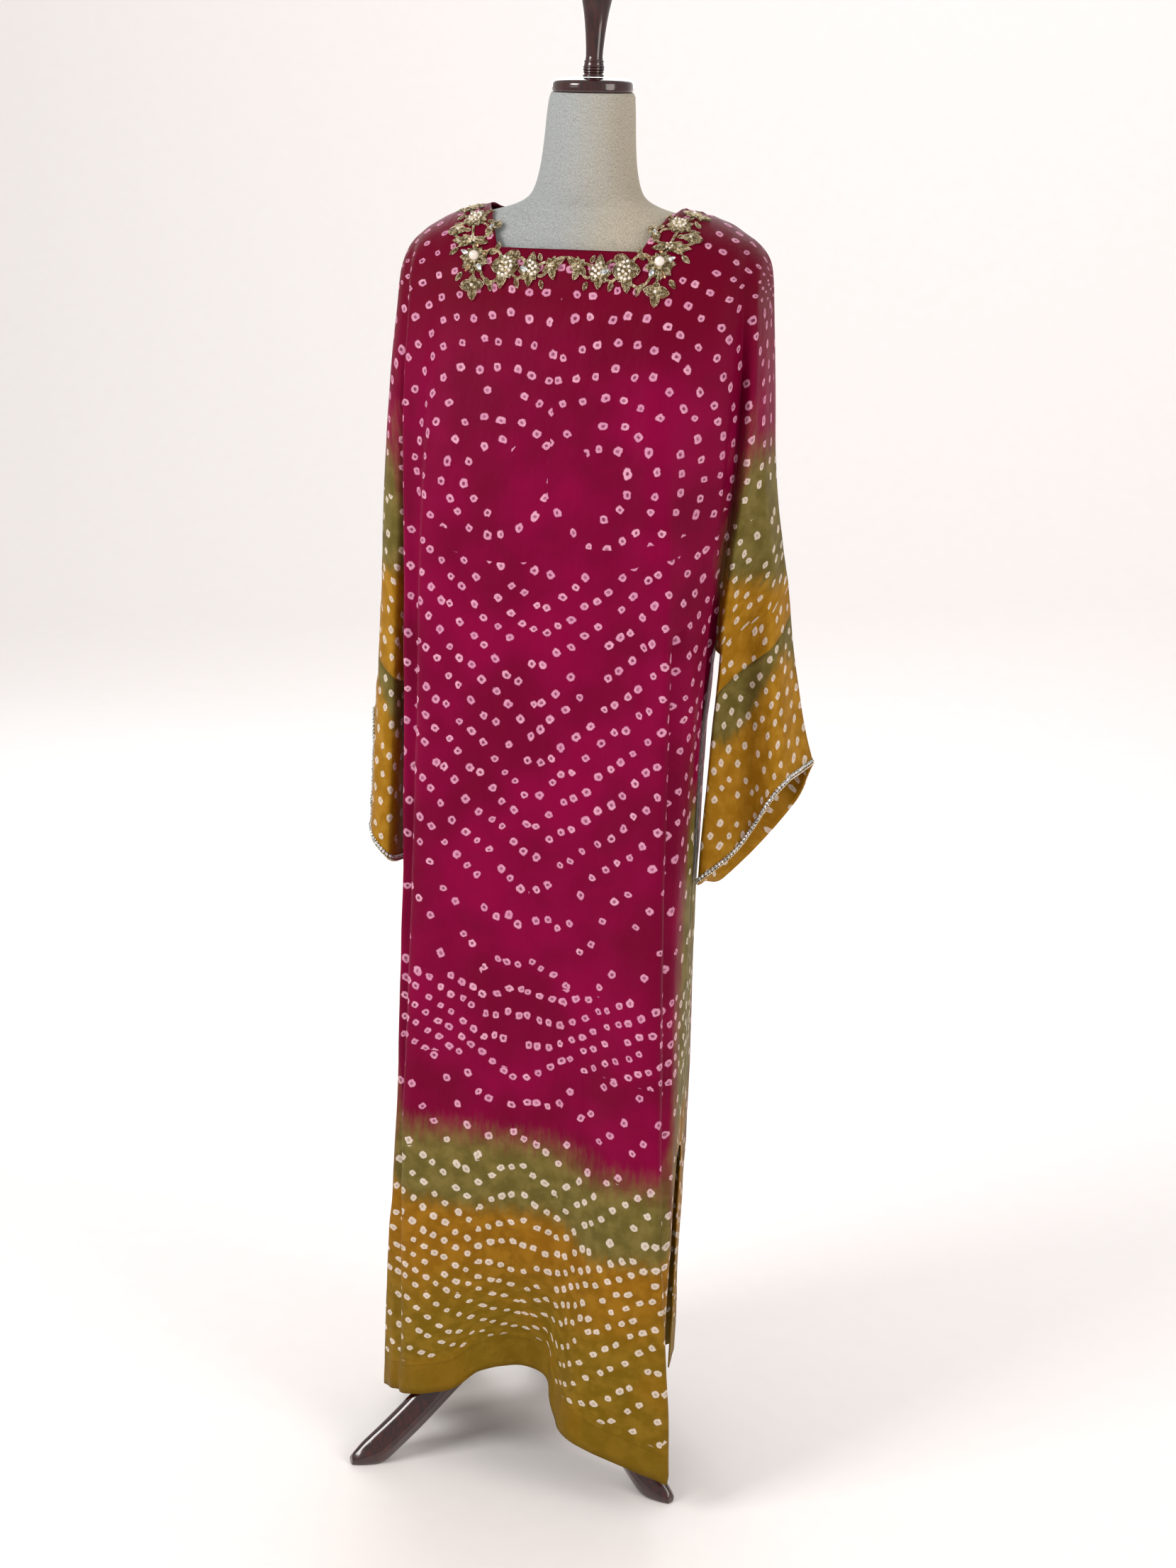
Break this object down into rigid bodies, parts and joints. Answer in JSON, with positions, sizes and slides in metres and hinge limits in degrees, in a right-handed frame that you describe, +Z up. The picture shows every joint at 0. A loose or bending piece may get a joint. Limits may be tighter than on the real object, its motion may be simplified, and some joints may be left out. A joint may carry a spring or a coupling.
{
  "type": "kaftan on a dress form",
  "caption": "Floor-length silk kaftan with wide batwing sleeves and a square neckline edged in raised gold work, hanging on a limbless dress form with a tripod stand.",
  "frame": {"origin": "on the floor, at the middle of the bounding box", "axes": "+Z up, the garment's front faces -Y, the wearer's left is +X"},
  "size_m": [0.525, 0.3868, 1.7553],
  "materials": {
    "silk": "soft silk sheen",
    "silk_end": "soft silk sheen",
    "gold_work": "metallic thread, satin",
    "pearl": "pearl gloss",
    "linen": "matt weave",
    "wood": "polished"
  },
  "bodies": {
    "root": {"front_panel": "silk", "back_panel": "silk", "sleeve_end_left": "silk_end", "sleeve_end_right": "silk_end", "motif_shoulder_sprig_left": "gold_work", "motif_upper_flower_left": "gold_work", "motif_outer_leaf_left": "gold_work", "motif_inner_leaf_left": "gold_work", "motif_leaf_cluster_left": "gold_work", "motif_main_flower_left": "gold_work", "motif_trefoil_left": "gold_work", "motif_crescent_left": "gold_work", "motif_bud_left": "gold_work", "motif_centre_sprig_left": "gold_work", "pearl_left": "pearl", "motif_shoulder_sprig_right": "gold_work", "motif_upper_flower_right": "gold_work", "motif_outer_leaf_right": "gold_work", "motif_inner_leaf_right": "gold_work", "motif_leaf_cluster_right": "gold_work", "motif_main_flower_right": "gold_work", "motif_trefoil_right": "gold_work", "motif_crescent_right": "gold_work", "motif_bud_right": "gold_work", "motif_centre_sprig_right": "gold_work", "pearl_right": "pearl", "form_torso": "linen", "neck_cap": "wood", "finial": "wood", "pole": "wood", "hub": "wood", "leg_left": "wood", "leg_right": "wood", "leg_back": "wood"}
  },
  "joints": []
}
